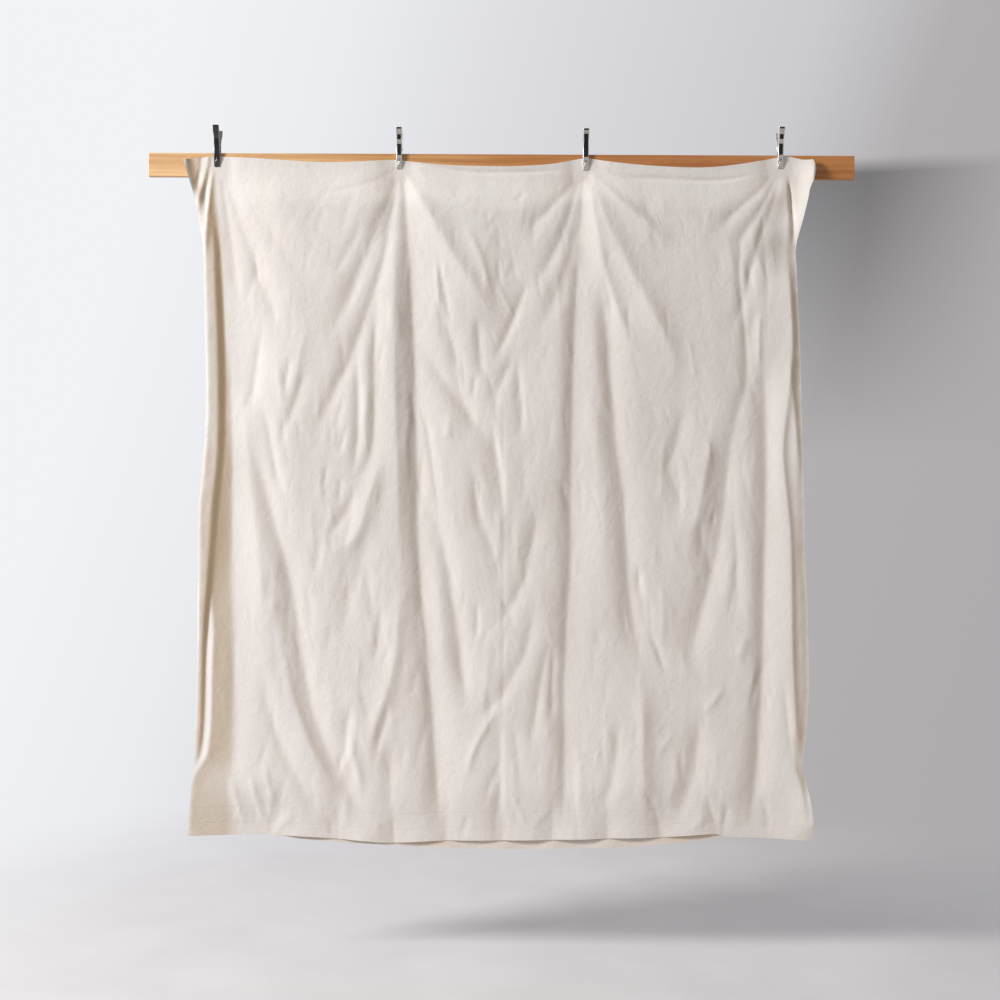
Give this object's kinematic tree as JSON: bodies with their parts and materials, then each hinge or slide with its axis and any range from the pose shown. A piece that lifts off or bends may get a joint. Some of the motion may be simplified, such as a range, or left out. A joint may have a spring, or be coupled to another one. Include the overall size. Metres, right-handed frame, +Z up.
{
  "type": "duvet cover clamped to a wooden rail",
  "caption": "Empty cotton duvet cover hanging flat from a wooden rail by metal spring clamps, with side folds and an open foot fastened at points.",
  "frame": {"origin": "middle of the rail's back face", "axes": "+Z up, +X to the right as seen from the front, -Y towards the viewer of the cover's front"},
  "size_m": [2.44, 0.0876, 2.5],
  "materials": {
    "cotton": "matt plain-woven natural cotton, washed and softly creased",
    "rail_wood": "honey-coloured pine, planed, satin",
    "clamp_chrome": "bright plated steel",
    "spring_steel": "dark drawn wire"
  },
  "bodies": {
    "root": {"front_panel": "cotton", "back_panel": "cotton", "rail": "rail_wood", "clamp1_front_arm": "clamp_chrome", "clamp1_back_arm": "clamp_chrome", "clamp1_pin": "clamp_chrome", "clamp1_spring": "spring_steel", "clamp2_front_arm": "clamp_chrome", "clamp2_back_arm": "clamp_chrome", "clamp2_pin": "clamp_chrome", "clamp2_spring": "spring_steel", "clamp3_front_arm": "clamp_chrome", "clamp3_back_arm": "clamp_chrome", "clamp3_pin": "clamp_chrome", "clamp3_spring": "spring_steel", "clamp4_front_arm": "clamp_chrome", "clamp4_back_arm": "clamp_chrome", "clamp4_pin": "clamp_chrome", "clamp4_spring": "spring_steel"}
  },
  "joints": []
}
